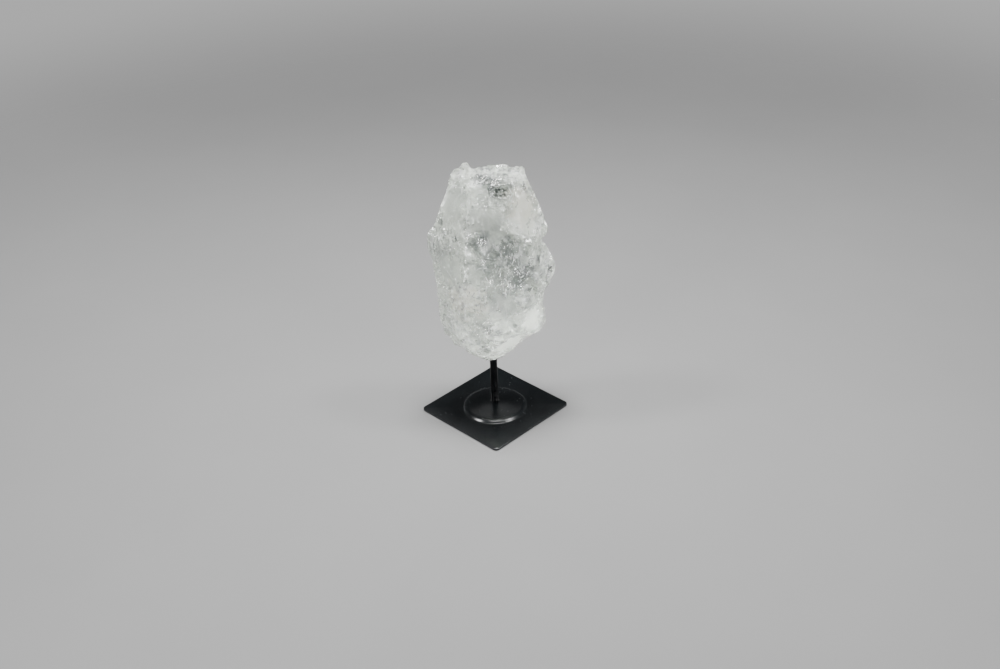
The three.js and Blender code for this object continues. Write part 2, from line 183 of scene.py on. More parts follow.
class Nodes:
    """A material's node tree, with a short call for each node. Scales are in cells per metre."""

    def __init__(self, name):
        self.material = bpy.data.materials.new(name)
        self.material.use_nodes = True
        self.tree = self.material.node_tree
        self.tree.nodes.clear()
        self.output = self.add("ShaderNodeOutputMaterial")

    def add(self, kind, inputs=None, **settings):
        """A node of that kind. An input is a value, or another node's output to link to it."""
        node = self.tree.nodes.new(kind)
        for key, value in settings.items():
            setattr(node, key, value)
        for key, value in (inputs or {}).items():
            if isinstance(value, bpy.types.NodeSocket):
                self.tree.links.new(value, node.inputs[key])
            else:
                node.inputs[key].default_value = value
        return node

    def place(self):
        return self.add("ShaderNodeTexCoord").outputs["Object"]

    def marked(self, name):
        """A number that the piece's vertices carry under that name."""
        return self.add("ShaderNodeAttribute", attribute_name=name).outputs["Fac"]

    def vectors(self, operation, first, second):
        return self.add("ShaderNodeVectorMath", {0: first, 1: second}, operation=operation)

    def stretched(self, vector, scale, turn=(0, 0, 0)):
        inputs = {"Vector": vector, "Scale": scale, "Rotation": turn}
        return self.add("ShaderNodeMapping", inputs).outputs[0]

    def cloud(self, vector, scale, detail=4, roughness=0.55):
        inputs = {"Vector": vector, "Scale": scale, "Detail": detail, "Roughness": roughness}
        return self.add("ShaderNodeTexNoise", inputs).outputs["Fac"]

    def cells(self, vector, scale, feature="F1"):
        return self.add("ShaderNodeTexVoronoi", {"Vector": vector, "Scale": scale}, feature=feature)

    def cell_edges(self, vector, scale):
        """The distance to the nearest border between cells."""
        return self.cells(vector, scale, "DISTANCE_TO_EDGE").outputs["Distance"]

    def ranged(self, value, low, high, to_low=0.0, to_high=1.0, smooth=False):
        """The value's place between low and high, held within them, as a number from to_low to to_high."""
        return self.add(
            "ShaderNodeMapRange",
            {"Value": value, "From Min": low, "From Max": high, "To Min": to_low, "To Max": to_high},
            interpolation_type="SMOOTHSTEP" if smooth else "LINEAR",
        ).outputs[0]

    def maths(self, operation, first, second):
        return self.add("ShaderNodeMath", {0: first, 1: second}, operation=operation).outputs[0]

    def times(self, first, second):
        return self.maths("MULTIPLY", first, second)

    def plus(self, first, second):
        return self.maths("ADD", first, second)

    def larger(self, first, second):
        return self.maths("MAXIMUM", first, second)

    def mixed(self, factor, first, second):
        """A colour between two."""
        return self.add("ShaderNodeMix", {0: factor, 6: first, 7: second}, data_type="RGBA").outputs[2]

    def blended(self, factor, first, second):
        """A number between two."""
        return self.add("ShaderNodeMix", {0: factor, 2: first, 3: second}, data_type="FLOAT").outputs[0]

    def warped(self, vector, scale, amount):
        """The vector pushed about by noise, so that patterns on it wander."""
        inputs = {"Vector": vector, "Scale": scale, "Detail": 3.0}
        push = self.add("ShaderNodeTexNoise", inputs).outputs["Color"]
        centred = self.vectors("SUBTRACT", push, (0.5, 0.5, 0.5)).outputs[0]
        inputs = {0: centred, "Scale": amount}
        scaled = self.add("ShaderNodeVectorMath", inputs, operation="SCALE").outputs[0]
        return self.vectors("ADD", vector, scaled).outputs[0]

    def facets(self, vector, scale):
        """A height in metres that is flat but tilted a different way in each small cell."""
        cell = self.cells(vector, scale)
        local = self.vectors("SUBTRACT", vector, cell.outputs["Position"]).outputs[0]
        tilt = self.vectors("SUBTRACT", cell.outputs["Color"], (0.5, 0.5, 0.5)).outputs[0]
        return self.vectors("DOT_PRODUCT", local, tilt).outputs["Value"]

    def bumped(self, height, distance, strength=1.0, normal=None):
        inputs = {"Height": height, "Distance": distance, "Strength": strength}
        if normal is not None:
            inputs["Normal"] = normal
        return self.add("ShaderNodeBump", inputs).outputs[0]

    def finish(self, shader):
        self.tree.links.new(shader, self.output.inputs["Surface"])
        return self.material


DUST = (0.16, 0.16, 0.155, 1)


def enamel(name, black, roughness_low, roughness_high, gloss):
    """Black stove enamel: slightly uneven gloss, a fine orange peel and a few dust specks."""
    n = Nodes(name)
    place = n.place()
    patches = n.cloud(place, 55, detail=3)
    dust_cells = n.cells(place, 420).outputs["Distance"]
    dust_where = n.ranged(n.cloud(place, 130, detail=2), 0.56, 0.66)
    dust = n.times(n.ranged(dust_cells, 0.16, 0.08), dust_where)
    worn_black = tuple(1.5 * channel + 0.001 for channel in black[:3]) + (1,)
    tone = n.mixed(n.ranged(patches, 0.35, 0.7), black, worn_black)
    tone = n.mixed(n.times(dust, 0.18), tone, DUST)
    roughness = n.ranged(patches, 0.3, 0.7, roughness_low, roughness_high)
    roughness = n.plus(roughness, n.times(dust, 0.3))
    shader = n.add(
        "ShaderNodeBsdfPrincipled",
        {
            "Base Color": tone, "Roughness": roughness, "Specular IOR Level": gloss,
            "Normal": n.bumped(n.cloud(place, 900, detail=2), 0.03 * MM, 0.5),
        },
    )
    return n.finish(shader.outputs[0])


# The quartz's colours, from its milky places to the clear ones. Some of them are painted light: the grey is
# also painted shade over the thick middle and in the hollows, the shade cloud and the speck paint the dark
# seen into the clear places, the hook shadow grey paints the shadows of small steps, and the pale carries a
# painted glow in the milky places.
QUARTZ_PALE = (0.90, 0.95, 0.85, 1)
QUARTZ_WARM = (0.86, 0.83, 0.70, 1)
QUARTZ_GREY = (0.15, 0.17, 0.162, 1)
QUARTZ_SHADE_CLOUD = (0.12, 0.136, 0.132, 1)
QUARTZ_SPECK = (0.02, 0.025, 0.024, 1)
GROWTH_GREY = (0.42, 0.44, 0.44, 1)
HOOK_SHADOW_GREY = (0.12, 0.132, 0.13, 1)
BREAK_WHITE = (1.0, 1.0, 1.0, 1)
QUARTZ_IOR = 1.548
QUARTZ_DEPTH = (0.82, 0.87, 0.82, 1)  # what it looks like where it is thick


def painted_shade_and_specks(n, place, mark):
    """Painted shade where it is clear enough to look into: grey clouds for the dark seen into it, and fine
    dark specks in them as painted reflections.
    """
    shade_cloud = n.cloud(n.warped(place, 200, 3 * MM), 230, detail=5, roughness=0.65)
    shade_cloud = n.times(mark["clear"], n.ranged(shade_cloud, 0.30, 0.50))
    speck = n.cloud(n.warped(place, 400, MM), 520, detail=2, roughness=0.65)
    speck = n.times(n.ranged(speck, 0.49, 0.56), n.ranged(mark["clear"], 0.3, 1.0))
    return shade_cloud, speck


def white_marks(n, place, mark):
    """Sugary grains, a few long thin fractures, and short upright and slanting strokes."""
    sugar = n.cloud(n.warped(place, 300, MM), 560, detail=2, roughness=0.6)
    sugar_where = n.larger(mark["rough"], n.times(mark["clear"], 0.4))
    sugar = n.times(n.ranged(sugar, 0.61, 0.66), sugar_where)

    wander = n.warped(n.stretched(place, (1, 1, 0.7), (0.3, 0.5, 0.0)), 90, 6 * MM)
    crack_where = n.ranged(n.cloud(place, 220, detail=4, roughness=0.7), 0.54, 0.60)
    crack = n.times(n.ranged(n.cell_edges(wander, 75), 0.020, 0.006), crack_where)

    drift = n.warped(place, 150, 2 * MM)
    upright = n.cloud(n.stretched(drift, (1, 1, 0.14), (0.12, 0.08, 0)), 560, detail=2)
    slanting = n.cloud(n.stretched(drift, (1, 1, 0.16), (0.9, 0.6, 0)), 520, detail=2)
    stroke = n.larger(n.ranged(upright, 0.64, 0.68), n.ranged(slanting, 0.645, 0.69))
    stroke_where = n.plus(n.times(mark["rough"], 0.4), n.cloud(place, 110, detail=4, roughness=0.7))
    stroke = n.times(stroke, n.ranged(stroke_where, 0.47, 0.66))
    return n.larger(n.larger(crack, n.times(stroke, 0.85)), sugar)


def hooked_lines(n, place, mark):
    """Fine hooked lines on the edges of small breaks: first the white ones, partly white fracture and
    partly painted highlights on the edges, then the dark ones, painted shadows of the small steps.
    """
    where = n.cloud(n.warped(place, 80, 10 * MM), 190, detail=4, roughness=0.75)
    where = n.plus(where, n.times(mark["rough"], 0.04))
    edges = n.cell_edges(n.warped(place, 260, 2.5 * MM), 300)
    hook = n.times(n.ranged(edges, 0.10, 0.04), n.ranged(where, 0.52, 0.57))
    hook = n.times(hook, n.blended(mark["worn"], 1.0, 0.15))
    sign = n.cloud(place, 150, detail=2)
    return n.times(hook, n.ranged(sign, 0.50, 0.54)), n.times(hook, n.ranged(sign, 0.51, 0.46))


def broken_skin(n, place, mark, growth, white):
    """The normal of a skin of small tilted facets, growth lines and grain, with the white marks raised."""
    wide_facets = n.facets(n.warped(place, 140, 1.2 * MM), 240)
    small_facets = n.facets(n.warped(place, 260, 0.6 * MM), 620)
    grain = n.cloud(place, 1500, detail=3, roughness=0.7)
    calm = n.blended(mark["worn"], 1.0, 0.3)
    wide_tilt = n.times(calm, n.blended(mark["rough"], 0.22, 0.8))
    small_tilt = n.times(calm, n.blended(mark["rough"], 0.06, 0.8))
    normal = n.bumped(n.times(wide_facets, wide_tilt), 1.0)
    normal = n.bumped(n.times(small_facets, small_tilt), 0.9, 1.0, normal)
    normal = n.bumped(n.times(growth, mark["drawn"]), 0.9 * MM, 1.0, normal)
    normal = n.bumped(n.times(grain, n.blended(mark["rough"], 0.15, 1.0)), 0.3 * MM, 1.0, normal)
    return n.bumped(white, 0.2 * MM, 0.6, normal)


def clouding(n, place, mark):
    """From 0 where it is grey to 1 where it is pale: broad all over, and fine where it is chipped. It also
    carries painted light: a painted glow in the milky places, painted shade in the shaded places and in the
    hollows, and paler ridges, as frost.
    """
    broad = n.ranged(n.cloud(place, 42, detail=5, roughness=0.6), 0.3, 0.7, -0.25, 0.25)
    fine = n.ranged(n.cloud(place, 300, detail=4, roughness=0.7), 0.3, 0.7, -0.5, 0.5)
    fine = n.times(fine, n.blended(n.larger(mark["rough"], mark["clear"]), 0.25, 1.0))
    # paler on the ridges, as frost, and darker in the hollows, as painted shade
    frost_and_hollow_shade = n.plus(n.times(mark["ridge"], 0.8), -0.38)
    frost_and_hollow_shade = n.times(frost_and_hollow_shade, n.blended(mark["rough"], 0.3, 1.0))
    frost_and_hollow_shade = n.times(frost_and_hollow_shade, n.blended(mark["worn"], 1.0, 0.25))
    pale = n.plus(n.plus(0.58, broad), fine)
    # a painted glow where the tone mark is high, painted shade where it is low
    pale = n.plus(pale, n.times(mark["tone"], 0.5))
    return n.plus(pale, frost_and_hollow_shade)


def crystal():
    """Clear quartz: glossy scoops, frosted and sugary patches and white fractures, with painted light: dark
    clouds and specks painted in the clear places, painted shade over its thick middle, in the hollows and
    along small steps, and a painted glow in the milky places.
    """
    n = Nodes("quartz_ice")
    place = n.place()
    mark = {name: n.marked(name) for name in MARKS}
    shade_cloud, speck = painted_shade_and_specks(n, place, mark)
    hook_white, hook_shadow = hooked_lines(n, place, mark)
    white = n.larger(white_marks(n, place, mark), hook_white)

    # drawn-out growth lines, light and dark
    growth = n.stretched(n.warped(place, 120, 3 * MM), (1, 1, 0.1))
    growth = n.cloud(growth, 620, detail=3, roughness=0.6)
    growth_dark = n.times(n.ranged(growth, 0.48, 0.40), mark["drawn"])
    growth_white = n.times(n.ranged(growth, 0.54, 0.60), mark["drawn"])
    normal = broken_skin(n, place, mark, growth, white)

    # the grey end is partly painted shade and the pale end partly a painted glow
    colour = n.mixed(clouding(n, place, mark), QUARTZ_GREY, QUARTZ_PALE)
    colour = n.mixed(n.times(mark["warm"], 0.6), colour, QUARTZ_WARM)
    # painted shade: grey clouds for the dark seen into the clear places
    colour = n.mixed(n.times(shade_cloud, 0.5), colour, QUARTZ_SHADE_CLOUD)
    # painted reflections: dark specks in the clear places
    colour = n.mixed(speck, colour, QUARTZ_SPECK)
    colour = n.mixed(growth_dark, colour, GROWTH_GREY)
    # painted shadows of small steps along the hooked lines
    colour = n.mixed(hook_shadow, colour, HOOK_SHADOW_GREY)
    colour = n.mixed(n.larger(white, growth_white), colour, BREAK_WHITE)

    # sugary and worn skin is duller, and the clear specks are glossy
    roughness = n.blended(mark["rough"], 0.20, 0.42)
    roughness = n.plus(roughness, n.ranged(n.cloud(place, 120, detail=3), 0.3, 0.7, -0.06, 0.10))
    roughness = n.plus(roughness, n.times(mark["worn"], 0.14))
    roughness = n.blended(n.larger(speck, n.times(shade_cloud, 0.6)), roughness, 0.05)
    roughness = n.plus(roughness, n.times(white, 0.2))
    shader = n.add(
        "ShaderNodeBsdfPrincipled",
        {
            "Base Color": colour, "Roughness": roughness, "IOR": QUARTZ_IOR, "Transmission Weight": 0.66,
            "Coat Weight": 0.35, "Coat Roughness": 0.10, "Sheen Weight": 0.12, "Sheen Roughness": 0.3,
            "Normal": normal, "Coat Normal": normal,
        },
    )
    depth = n.add("ShaderNodeVolumeAbsorption", {"Color": QUARTZ_DEPTH, "Density": 10.0})
    n.tree.links.new(depth.outputs[0], n.output.inputs["Volume"])
    return n.finish(shader.outputs[0])


def veil_white():
    """The milky sheets of tiny bubbles along old fractures."""
    n = Nodes("veil_white")
    tone = n.mixed(n.cloud(n.place(), 400, detail=3), (0.86, 0.90, 0.90, 1), (0.98, 0.98, 0.96, 1))
    shader = n.add("ShaderNodeBsdfPrincipled", {"Base Color": tone, "Roughness": 0.5})
    return n.finish(shader.outputs[0])


def frost_white():
    """The small chips and grains that stand on the broken skin."""
    n = Nodes("frost_white")
    place = n.place()
    tone = n.mixed(n.cloud(place, 500, detail=3), (0.84, 0.86, 0.85, 1), (0.99, 0.99, 0.98, 1))
    normal = n.bumped(n.cloud(place, 2500, detail=2), 0.03 * MM)
    shader = n.add(
        "ShaderNodeBsdfPrincipled",
        {
            "Base Color": tone, "Roughness": 0.2, "IOR": 2.0, "Normal": normal,
            "Coat Weight": 1.0, "Coat Roughness": 0.1, "Coat IOR": 2.0,
        },
    )
    return n.finish(shader.outputs[0])


# ---- the stand ----

def make_base(material):
    """The pressed plate: a round boss spun about Z, joined to a rounded square, given its thickness."""
    hole = Vector((HOLE_RADIUS, LAND))
    land = Vector((LAND_RADIUS, LAND))
    cone = Vector((BOSS_RADIUS - 5.2 * MM, SHEET + 2.2 * MM))
    cone_control = Vector((BOSS_RADIUS - 2.9 * MM, SHEET + 1.75 * MM))
    shoulder = Vector((BOSS_RADIUS - 1.4 * MM, SHEET + 0.5 * MM))
    shoulder_control = Vector((BOSS_RADIUS - 0.8 * MM, SHEET))
    foot = Vector((BOSS_RADIUS, SHEET))
    profile = [hole, land, land.lerp(cone, 0.33), land.lerp(cone, 0.66), cone]
    profile += curve_points(cone, cone_control, shoulder, 9)
    profile += curve_points(shoulder, shoulder_control, foot, 5)
    mesh = bmesh.new()
    turned(mesh, profile, BOSS_STEPS)
    ring_from = BOSS_RADIUS - MM
    ring = [edge for edge in mesh.edges if edge.is_boundary and edge.verts[0].co.xy.length > ring_from]

    outline = []
    inner = SIDE / 2 - CORNER
    for quarter in range(4):
        centre = Matrix.Rotation(quarter * math.pi / 2, 2) @ Vector((inner, inner))
        for i in range(CORNER_STEPS + 1):
            angle = quarter * math.pi / 2 + i / CORNER_STEPS * math.pi / 2
            point = centre + CORNER * Vector((math.cos(angle), math.sin(angle)))
            outline.append(mesh.verts.new((point.x, point.y, SHEET)))
    outer = [mesh.edges.new((v, w)) for v, w in zip(outline, outline[1:] + outline[:1])]
    bmesh.ops.rotate(mesh, verts=outline, cent=(0, 0, 0), matrix=Matrix.Rotation(math.pi / 4, 3, "Z"))
    bmesh.ops.triangle_fill(mesh, edges=ring + outer, use_beauty=True)
    bmesh.ops.recalc_face_normals(mesh, faces=mesh.faces)
    if mesh.faces[0].normal.z < 0:
        bmesh.ops.reverse_faces(mesh, faces=mesh.faces)
    bmesh.ops.solidify(mesh, geom=mesh.faces[:], thickness=SHEET)

    rim_from = BOSS_RADIUS + 4 * MM
    rim = [
        edge for edge in mesh.edges
        if edge.calc_face_angle(0) > 1.2 and min(v.co.xy.length for v in edge.verts) > rim_from
    ]
    bmesh.ops.bevel(
        mesh, geom=rim, offset=EDGE_ROUND, offset_type="OFFSET", segments=4, profile=0.5, affect="EDGES",
        material=-1,
    )
    bmesh.ops.recalc_face_normals(mesh, faces=mesh.faces)
    piece = finished(mesh, "pressed_base", material, smooth_angle=50)
    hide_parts("base")


def make_rod(material):
    """The round rod, with its weld bead and peened head."""
    head_top = LAND - SHEET
    head_low = rod_low.z
    top = rod_high.z
    head_corner = Vector((HEAD_RADIUS, head_low))
    profile = [Vector((0, head_low)), Vector((HEAD_RADIUS - MM, head_low))]
    profile += curve_points(profile[-1], head_corner, Vector((HEAD_RADIUS, head_top)), 4)
    profile += [Vector((ROD_RADIUS, head_top)), Vector((ROD_RADIUS, LAND)), Vector((BEAD_RADIUS, LAND))]
    bead_control = Vector((ROD_RADIUS + 0.3 * MM, LAND + 0.3 * MM))
    profile += curve_points(profile[-1], bead_control, Vector((ROD_RADIUS, LAND + BEAD_HEIGHT)), 6)
    profile += [Vector((ROD_RADIUS, top - TIP_CHAMFER)), Vector((ROD_RADIUS - TIP_CHAMFER, top))]
    profile += [Vector((0, top))]
    mesh = bmesh.new()
    turned(mesh, profile, ROD_STEPS)
    bmesh.ops.remove_doubles(mesh, verts=mesh.verts, dist=WELD)
    bmesh.ops.recalc_face_normals(mesh, faces=mesh.faces)
    piece = finished(mesh, "round_rod", material)
    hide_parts("rod")


# ---- the quartz ----

# Each place below is a point in millimetres, a reach and an amount. The quartz is clear enough to look into
# in these, and it is painted dark there: painted shade for the dark seen into it, and dark specks as
# painted reflections.
CLEAR_PLACES = (
    ((-5, -5, 171.6), 5.5, 0.85),
    ((-3.4, -2.8, 171.8), 4.2, 0.9),
    ((-1.4, -7.6, 171.2), 4, 0.85),
    ((5, -11.6, 167.6), 5.5, 1.0),
    ((2, -6, 171.3), 4.5, 0.9),
    ((8, -9, 170.6), 3.6, 0.9),
    ((8, -12, 165.6), 4.5, 1.0),
    ((12, -13, 162), 3, 0.6),
    ((-3.5, -14, 164.4), 3, 0.45),
    ((-8.5, -16.3, 158.5), 1.3, 0.9),
    ((-0.8, -17.2, 159.3), 1.8, 0.6),
    ((15.2, -9.6, 168.9), 2.6, 0.7),
    ((22.5, -4.4, 164.8), 3, 0.85),
    ((25.5, -3.1, 160.8), 2.4, 0.8),
    ((26.6, -4.1, 157.2), 2.4, 0.55),
    ((12.3, -15.9, 155.5), 2.6, 0.7),
    ((-29.3, -4.8, 144.2), 2.8, 0.85),
    ((-32, -7.7, 126.5), 2.2, 0.6),
    ((-27.3, -9.6, 134.9), 1.3, 0.8),
    ((-3.4, -18.8, 136), 3.6, 0.8),
    ((-7.1, -20, 134.1), 4.6, 0.55),
    ((9.9, -15.7, 133.9), 5.8, 0.65),
    ((17.9, -14.2, 132.8), 2.2, 1.0),
    ((11, -16.3, 129.3), 5, 0.55),
    ((14, -15, 131.4), 5, 0.55),
    ((-14.9, -20.9, 123.2), 2.6, 0.55),
    ((13.8, -18.1, 119.1), 5, 0.55),
    ((6.2, -20, 113.5), 6.5, 0.5),
    ((19.7, -19.4, 111.8), 8, 0.6),
    ((20.8, -20.5, 107.5), 3.2, 0.75),
    ((24.6, -15.3, 100.1), 2.8, 0.75),
    ((29, -14.4, 98.7), 3, 0.55),
    ((37.6, -6.4, 108.2), 3.2, 1.0),
    ((36.2, -8.9, 105.3), 4.2, 1.0),
    ((36, -9.4, 102), 2.8, 1.0),
    ((-24.2, -16.2, 96.1), 2.2, 0.6),
    ((-7.9, -23.5, 99.7), 2.6, 0.45),
    ((-3.7, -22.4, 76.3), 4.4, 0.7),
    ((-0.6, -23.6, 78.4), 2.2, 0.8),
    ((14.6, -19.8, 76.9), 3.6, 0.5),
    ((10.6, -19.9, 71.2), 2, 0.7),
    ((-18.8, -16.1, 63.3), 2.2, 1.0),
    ((-3.8, -13.5, 54.2), 3.2, 1.0),
    ((0, -12.2, 50.9), 2.4, 0.9),
    ((-28.5, -9.3, 76), 2.6, 0.45),
    ((30.4, -9.1, 139.2), 3, 0.55),
    ((-12, 20, 120), 9, 0.5),
    ((10, 19, 90), 10, 0.4),
    ((6, 16, 154), 8, 0.6),
    ((-33, 6, 122), 5, 0.6),
    ((33, 8, 100), 5, 0.6),
)
# It is chipped and sugary in these.
ROUGH_PLACES = (
    ((0, 2, 175), 12, 1.0),
    ((18, 2, 173), 12, 1.0),
    ((-14, 6, 175), 10, 1.0),
    ((25, -4, 162), 6, 0.7),
    ((12, -16, 132), 9, 0.2),
    ((14, -18, 116), 12, 0.35),
    ((32, -11, 116), 11, 1.0),
    ((37, -8, 104), 7, 1.0),
    ((-17, -22, 99), 14, 0.9),
    ((-20, -17, 74), 9, 0.6),
    ((-16, -21, 82), 6, 0.8),
    ((2, -22, 72), 7, 0.6),
    ((-14, -16, 62), 9, 0.5),
    ((22, -18, 96), 9, 0.7),
    ((30, -9, 142), 7, 0.7),
    ((2, 20, 132), 18, 0.7),
    ((-20, 18, 80), 16, 0.8),
    ((24, 14, 70), 12, 1.0),
)
# It has drawn-out growth lines in these.
DRAWN_PLACES = (
    ((-6, -14, 152), 15, 0.3),
    ((-34, -7, 128), 13, 0.6),
    ((-29, -10, 78), 12, 0.7),
    ((4, -22, 91), 9, 0.3),
    ((16, 18, 150), 16, 0.6),
    ((-24, 14, 110), 18, 0.7),
)
# It has a faint warm stain in these.
WARM_PLACES = (
    ((22, -10, 156), 14, 1.0),
    ((-17, -22, 95), 14, 1.0),
    ((-12, 18, 140), 14, 1.0),
)
# Painted shade: it is painted greyer in these, most of all over its thick middle, where less light comes
# through.
PAINTED_SHADE_PLACES = (
    ((8, -18, 122), 18, 1.0),
    ((18, -18, 112), 12, 1.0),
    ((14, -15, 131), 11, 0.9),
    ((-5, -19, 135), 10, 0.9),
    ((0, -8, 170), 9, 0.7),
    ((-4, -3, 171.8), 5, 1.0),
    ((1, 3, 174), 10, 0.5),
    ((15, 2, 173), 9, 0.4),
    ((8, -23, 98), 15, 0.6),
    ((0, -18, 153), 14, 0.4),
    ((-17, -21, 93), 11, 0.45),
    ((30, -12, 118), 9, 0.3),
    ((-32, -6, 130), 9, 0.3),
    ((14, 17, 120), 18, 0.7),
    ((-20, 14, 145), 14, 0.5),
)
# It is milky just under the surface in these, and it is painted paler there: a painted glow where light
# comes through, on the bright low facets and on the top.
MILKY_AND_GLOW_PLACES = (
    ((11, -15, 60.5), 13, 1.0),
    ((1, -11, 50), 9, 1.0),
    ((27, -15, 78), 10, 0.8),
    ((24, -9, 66), 8, 0.9),
    ((28, -14, 123), 5, 0.4),
    ((32, -12, 115), 6, 0.4),
    ((-13, -22, 101), 6, 0.5),
    ((-9, 3, 173), 6, 0.4),
    ((7, 6, 173), 8, 0.3),
    ((18, 0, 172), 7, 0.3),
    ((-14, -12, 56), 7, 0.8),
    ((38, -3, 102), 6, 0.8),
    ((8, 16, 64), 9, 0.8),
    ((-10, 18, 150), 8, 0.7),
)
# Chips stand on the skin round these points: each row has a point, a reach and how many.
GLINT_PLACES = (
    ((-9.8, 6, 173), 3, 14),
    ((-9.8, -3.3, 172), 1.8, 6),
    ((0.2, -12.9, 167), 2.2, 6),
    ((-10.2, -15.5, 160.8), 1.0, 3),
    ((14.5, -5.5, 171), 2.6, 14),
    ((4.8, 7.4, 172.7), 5, 20),
    ((9.7, 10, 172.6), 5, 14),
    ((21, 1.4, 170.8), 3, 10),
    ((29.3, -7.6, 146), 2.2, 7),
    ((8.4, -20.6, 146.6), 2.6, 8),
    ((22, -16.8, 142.8), 3, 6),
    ((-26.4, -8.7, 139.9), 1.3, 4),
    ((-28, -10.7, 118.8), 1.3, 4),
    ((-32.7, -6.4, 105.3), 2.6, 6),
    ((-16.6, -17.2, 139), 2.4, 5),
    ((7.2, -18.2, 124.3), 3, 5),
    ((8, -18, 119), 4, 4),
    ((27.5, -14.2, 124), 3.4, 18),
    ((31.2, -12.5, 117.4), 3.4, 16),
    ((25.4, -16.8, 117.2), 2.6, 9),
    ((31, -13.6, 112.4), 3, 11),
    ((38.5, -4, 102.5), 4, 18),
    ((-19.7, -18.6, 111.6), 3.2, 9),
    ((-14, -21.7, 116), 1.6, 5),
    ((-10.7, -23.2, 106.7), 4, 11),
    ((-14, -23, 101.8), 4, 16),
    ((-19.6, -20, 101.8), 1.6, 4),
    ((-25.4, -14.6, 86.5), 1.2, 5),
    ((-29.2, -8.8, 88.3), 2, 4),
    ((-15.5, -21, 82.3), 2.4, 10),
    ((4.3, -21.3, 70.9), 3.6, 13),
    ((15.7, -14.2, 63), 1.6, 7),
    ((22.3, -18, 84.4), 3, 6),
    ((32, -9, 76.4), 2.4, 7),
    ((27.3, -14.4, 70.9), 4, 9),
    ((4.8, -23.8, 89.3), 3, 8),
    ((-3.9, -23.5, 88.7), 1.6, 3),
    ((-4, -18.8, 151), 1.2, 3),
    ((5, -16, 131.5), 3, 2),
    ((-5, -17, 141), 3, 4),
    ((6, -12, 167), 5, 3),
    ((2, 2, 174), 6, 30),
    ((15, 0, 172), 6, 30),
    ((-9, 2, 172), 5, 14),
)
# The skin is pushed in or out round these points: each row has a point, a reach and the push.
LUMPS = (
    ((16, 12, 172.3), 3.4, (0, -1.0, -2.0)),
    ((22.2, 6.5, 171.8), 3.2, (0.4, 0.4, 1.8)),
    ((25.5, 5, 167.5), 3, (-1.0, 0, 0)),
    ((-1.6, 13, 172.3), 3, (0, -0.4, -1.2)),
    ((-7, 11, 171.8), 3, (0, 0, -1.0)),
    ((-13, 9, 176), 3.4, (0, 0, 0.8)),
    ((-16, -20.5, 82.6), 3.4, (0, -1.7, 0.2)),
    ((-15.5, -20.5, 79), 2.8, (0, 1.3, 0)),
    ((24.5, -17, 118.4), 2.8, (0.4, -1.3, 0)),
    ((26.5, -16, 115.4), 2.4, (-0.4, 1.1, 0)),
    ((37.2, -1, 132.5), 3.5, (-1.6, 0, 0)),
    ((36.5, -1.7, 95.2), 3, (1.0, 0, 0)),
    ((-30.2, -4.8, 64.6), 4, (-0.8, 0, -1.4)),
    ((-24.8, -4.8, 55.8), 2.8, (-0.7, 0, -1.5)),
    ((-19.5, -5.8, 51.4), 3.4, (0.3, 0, 2.0)),
    ((10.7, -5.5, 47.1), 5, (-0.2, 0, 1.3)),
    ((17.4, -5.4, 53), 5, (-0.3, 0, 1.4)),
    ((21.4, -4.9, 56.3), 4, (-0.3, 0, 1.4)),
)
# Old edges are worn soft in these places.
WORN_PLACES = (
    ((0, -18, 149), 13, 1.0),
    ((4, -17, 138), 11, 1.0),
    ((-21, -8, 156), 14, 1.0),
    ((20, -14, 152), 12, 1.0),
    ((-5, -10, 168), 8, 1.0),
    ((-24, -14, 115), 13, 1.0),
    ((12, -15, 60), 10, 1.0),
    ((26, -15, 78), 8, 1.0),
    ((6, -23, 92), 12, 0.8),
    ((-9, -22, 115), 9, 0.6),
)


# The small faces in one crystal all lie along a few directions, and so they flash together.
FACE_DIRECTIONS = tuple(
    Vector(direction).normalized()
    for direction in (
        (-0.35, -0.53, 0.77), (0.27, -0.52, 0.81), (0, -0.49, 0.87), (-0.80, -0.25, 0.56),
        (0.79, -0.31, 0.52), (-0.32, -0.85, 0.42), (0.50, -0.82, 0.28), (-0.30, 0.85, 0.40),
        (0.30, 0.85, 0.40), (-0.80, 0.50, 0.20), (0.80, 0.50, 0.20), (0, 0.5, 0.85),
    )
)


# This shift keeps the smaller hollows from lining up with the large ones.
SMALLER_SHIFT = Vector((31, 0, 0))


def eased(value, low, high):
    """0 at the low value, 1 at the high one, which may be the smaller, and smooth between them."""
    t = max(0.0, min(1.0, (value - low) / (high - low)))
    return t * t * (3 - 2 * t)


def near(point, places):
    """How far a point in millimetres is into any of the places, from 0 to 1, with ragged borders."""
    wander = 0.55 * noise.noise(point / 6) + 0.35 * noise.noise(point / 1.9)
    return max(
        amount * eased((point - Vector(centre)).length / reach + wander, 1.15, 0.5)
        for centre, reach, amount in places
    )


def wandered(point):
    """The point pushed about, so that the breaks on it aren't regular."""
    return point + WANDER_PUSH * noise.noise_vector(point / WANDER_SIZE)


def scooped(point, size, depth):
    """Hollows that meet at sharp ridges, as on broken glass: a height in millimetres."""
    nearest = noise.voronoi(point / size)[0][0]
    return depth * (nearest * nearest - 0.35)


def tilted(point, size, slope):
    """A height that is flat but tilted a different way in each cell of that size, in millimetres."""
    scaled = point / size
    seed = noise.voronoi(scaled)[1][0]
    tilt = noise.cell_vector(seed * 7.3) - Vector((0.5, 0.5, 0.5))
    return size * slope * (scaled - seed).dot(tilt)


